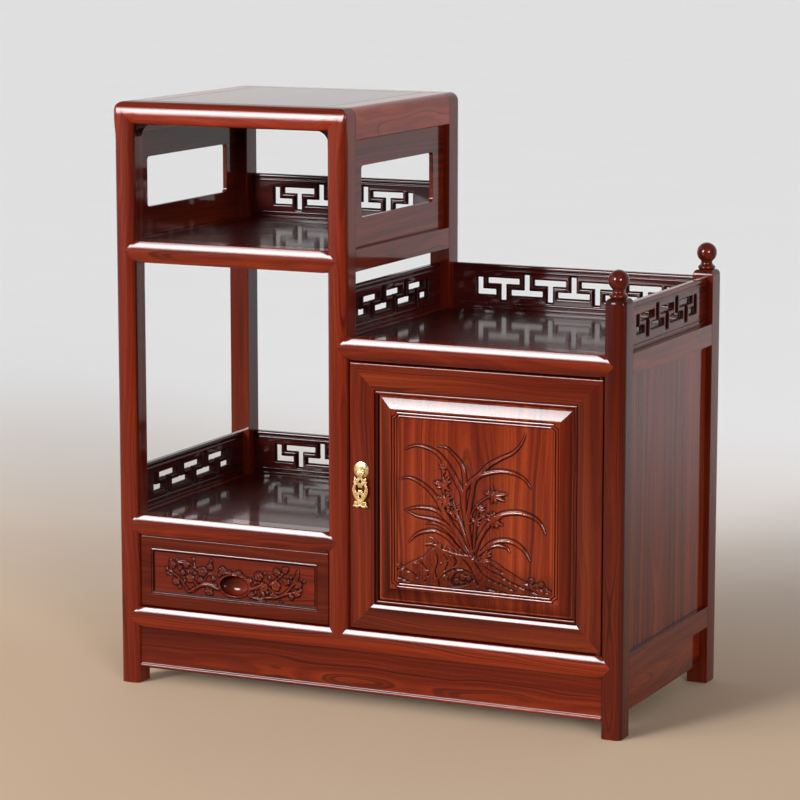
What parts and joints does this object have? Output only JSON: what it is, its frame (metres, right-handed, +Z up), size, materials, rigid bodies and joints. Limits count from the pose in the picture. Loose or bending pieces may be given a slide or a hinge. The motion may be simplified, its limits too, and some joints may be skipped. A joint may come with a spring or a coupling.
{
  "type": "sideboard",
  "caption": "Two-level rosewood tea cabinet: open shelf tower with a drawer beside a low cupboard, pierced fret galleries, ball finials, carved door and drawer, brass pull.",
  "frame": {"origin": "middle of the footprint at floor level, the bottom centre of the bounding box", "axes": "+Z up; the front with door and drawer faces -Y; +X to the viewer's right when facing the front, so the shelf tower is at -X and the low cupboard at +X"},
  "size_m": [0.83, 0.405, 0.9],
  "materials": {
    "rosewood": "polished red-brown lacquer over dark-streaked rosewood",
    "inner_wood": "plain planed secondary wood, waxed",
    "brass": "polished pale brass",
    "steel": "plain zinc-plated steel"
  },
  "bodies": {
    "carcass": {"apron_front": "rosewood", "aprons_side": "rosewood", "corner_brackets": "rosewood", "door_catch": "steel", "drawer_guides": "inner_wood", "drawer_runners": "inner_wood", "finials": "rosewood", "gallery_cabinet_left": "rosewood", "gallery_cabinet_rear": "rosewood", "gallery_cabinet_right": "rosewood", "gallery_shelf1_rear": "rosewood", "gallery_shelf2_left": "rosewood", "gallery_shelf2_rear": "rosewood", "panel_back_cabinet": "rosewood", "panel_back_drawer": "rosewood", "panel_battens": "inner_wood", "panel_cabinet_top": "rosewood", "panel_lower_side_left": "rosewood", "panel_shelf1": "rosewood", "panel_shelf2": "rosewood", "panel_side_right": "rosewood", "panel_tower_side_left": "rosewood", "panel_tower_side_right": "rosewood", "panel_tower_top": "rosewood", "panels_bottom": "rosewood", "panels_divider": "rosewood", "pivot_pins": "brass", "post_front_left": "rosewood", "post_front_middle": "rosewood", "post_front_right": "rosewood", "post_rear_left": "rosewood", "post_rear_middle": "rosewood", "post_rear_right": "rosewood", "rail_front_base": "rosewood", "rail_front_cabinet": "rosewood", "rail_front_shelf1": "rosewood", "rail_front_shelf2": "rosewood", "rail_front_top": "rosewood", "rail_rear_base": "rosewood", "rail_rear_cabinet": "rosewood", "rail_rear_shelf1": "rosewood", "rail_rear_shelf2": "rosewood", "rail_rear_top": "rosewood", "rails_side_base": "rosewood", "rails_side_cabinet": "rosewood", "rails_side_shelf1": "rosewood", "rails_side_shelf2": "rosewood", "rails_side_top": "rosewood"},
    "door": {"door_stiles": "rosewood", "door_rails": "rosewood", "door_panel": "rosewood", "catch_plate": "steel", "pull_boss": "brass", "pull_pin": "brass"},
    "drawer": {"drawer_front": "rosewood", "drawer_sides": "inner_wood", "drawer_back": "inner_wood", "drawer_bottom": "inner_wood"},
    "pull": {"pull_plate": "brass"}
  },
  "joints": [
    {"name": "door_hinge", "type": "hinge", "parent": "carcass", "child": "door", "pos_m": [0.3752, -0.19, 0.325], "axis": [0, 0, 1], "range_deg": [0, 95]},
    {"name": "drawer_slide", "type": "slide", "parent": "carcass", "child": "drawer", "axis": [0, -1, 0], "range_m": [0, 0.26]},
    {"name": "pull_swing", "type": "hinge", "parent": "door", "child": "pull", "pos_m": [-0.003, -0.1996, 0.363], "axis": [-1, 0, 0], "range_deg": [0, 85]}
  ]
}
